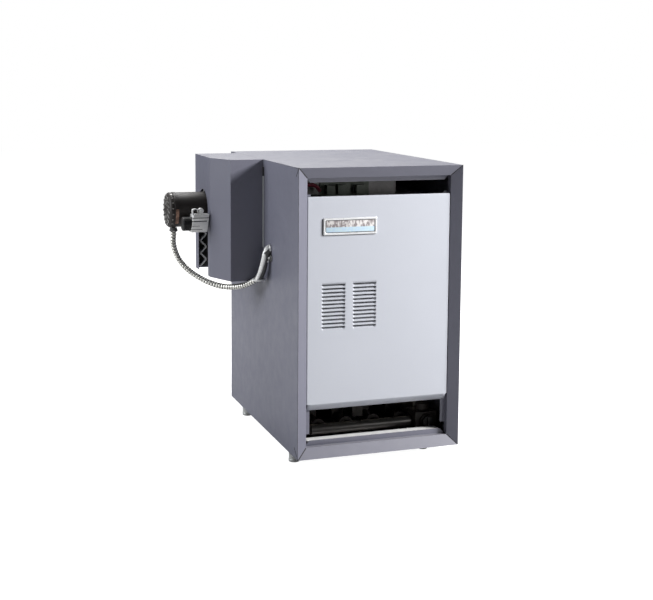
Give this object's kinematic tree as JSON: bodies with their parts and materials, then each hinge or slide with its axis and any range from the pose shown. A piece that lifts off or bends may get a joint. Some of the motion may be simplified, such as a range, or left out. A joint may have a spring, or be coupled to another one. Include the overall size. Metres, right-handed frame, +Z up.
{
  "type": "gas boiler",
  "caption": "Gas-fired hot-water boiler in a grey sheet-metal jacket, with a lift-off louvred door, tube burners, cast-iron sections and a side-mounted draft inducer fed by metal conduit.",
  "frame": {"origin": "on the floor, under the middle of the outline of jacket, motor and rear pipes", "axes": "+Z up, -Y is the front with the door, -X is the side with the draft inducer, +Y is the rear with the vent collar and the water pipes"},
  "size_m": [0.655, 0.65, 0.745],
  "materials": {
    "jacket_paint": "satin dark-grey enamel",
    "door_paint": "satin light-grey enamel",
    "zinc": "zinc plated, lightly brushed",
    "galvanised": "galvanised sheet",
    "black_paint": "satin black enamel",
    "black_plastic": "matt moulded plastic",
    "cast_iron": "as cast",
    "aluminised": "aluminised sheet, dull",
    "copper": "bare copper, tarnished",
    "iron_pipe": "black steel pipe",
    "fibre_board": "ceramic fibre board",
    "green_board": "printed circuit board with relays",
    "red_plastic": "moulded red plastic",
    "maroon_wire": "sleeved wire bundle",
    "nameplate_metal": "satin plate, blank"
  },
  "bodies": {
    "cabinet": {"left_side_panel": "jacket_paint", "right_side_panel": "jacket_paint", "top_panel": "jacket_paint", "front_sill": "jacket_paint", "base_ledge": "galvanised", "rear_panel": "jacket_paint", "base_tray": "galvanised", "foot_front_left": "zinc", "foot_front_right": "zinc", "foot_rear_left": "zinc", "foot_rear_right": "zinc", "inducer_cover": "jacket_paint", "inducer_scroll": "aluminised", "vent_collar": "aluminised", "motor_mount_plate": "zinc", "motor_can": "black_paint", "motor_end_cap": "black_plastic", "terminal_box": "zinc", "terminal_box_clip": "zinc", "run_capacitor": "black_plastic", "earth_strap": "copper", "blower_brace": "galvanised", "pressure_switch": "black_plastic", "conduit": "zinc", "conduit_motor_fitting": "zinc", "conduit_elbow": "zinc", "conduit_locknut": "zinc", "section_1": "cast_iron", "section_2": "cast_iron", "section_3": "cast_iron", "section_4": "cast_iron", "section_5": "cast_iron", "tie_rod_front": "zinc", "tie_rod_rear": "zinc", "flue_collector": "aluminised", "combustion_chamber": "fibre_board", "supply_pipe": "iron_pipe", "return_pipe": "iron_pipe", "burner_1": "aluminised", "burner_2": "aluminised", "burner_3": "aluminised", "burner_4": "aluminised", "gas_manifold": "iron_pipe", "gas_valve": "black_paint", "gas_inlet_nipple": "iron_pipe", "burner_rest": "galvanised", "spark_igniter": "fibre_board", "rollout_switch": "black_plastic", "control_bracket": "galvanised", "control_module": "green_board", "transformer": "copper", "limit_control": "black_plastic", "wiring_loom": "maroon_wire"},
    "door": {"front_door": "door_paint", "nameplate": "nameplate_metal"},
    "inducer_rotor": {"inducer_wheel": "aluminised", "inducer_shaft": "zinc"},
    "valve_knob": {"gas_valve_knob": "black_plastic"},
    "limit_knob": {"limit_dial": "red_plastic"},
    "reset": {"reset_button": "red_plastic"}
  },
  "joints": [
    {"name": "door_lift", "type": "slide", "parent": "cabinet", "child": "door", "axis": [0, 0, 1], "range_m": [0, 0.022]},
    {"name": "inducer_spin", "type": "hinge", "parent": "cabinet", "child": "inducer_rotor", "pos_m": [-0.1645, 0.15, 0.6], "axis": [1, 0, 0], "continuous": true},
    {"name": "valve_knob_turn", "type": "hinge", "parent": "cabinet", "child": "valve_knob", "pos_m": [0.2775, -0.245, 0.069], "axis": [0, 1, 0], "range_deg": [0, 90]},
    {"name": "limit_dial_turn", "type": "hinge", "parent": "cabinet", "child": "limit_knob", "pos_m": [-0.0345, -0.227, 0.639], "axis": [0, 1, 0], "range_deg": [-120, 120]},
    {"name": "reset_button_press", "type": "slide", "parent": "cabinet", "child": "reset", "axis": [0, 1, 0], "range_m": [0, 0.0025], "stiffness_N_per_m": 300}
  ]
}
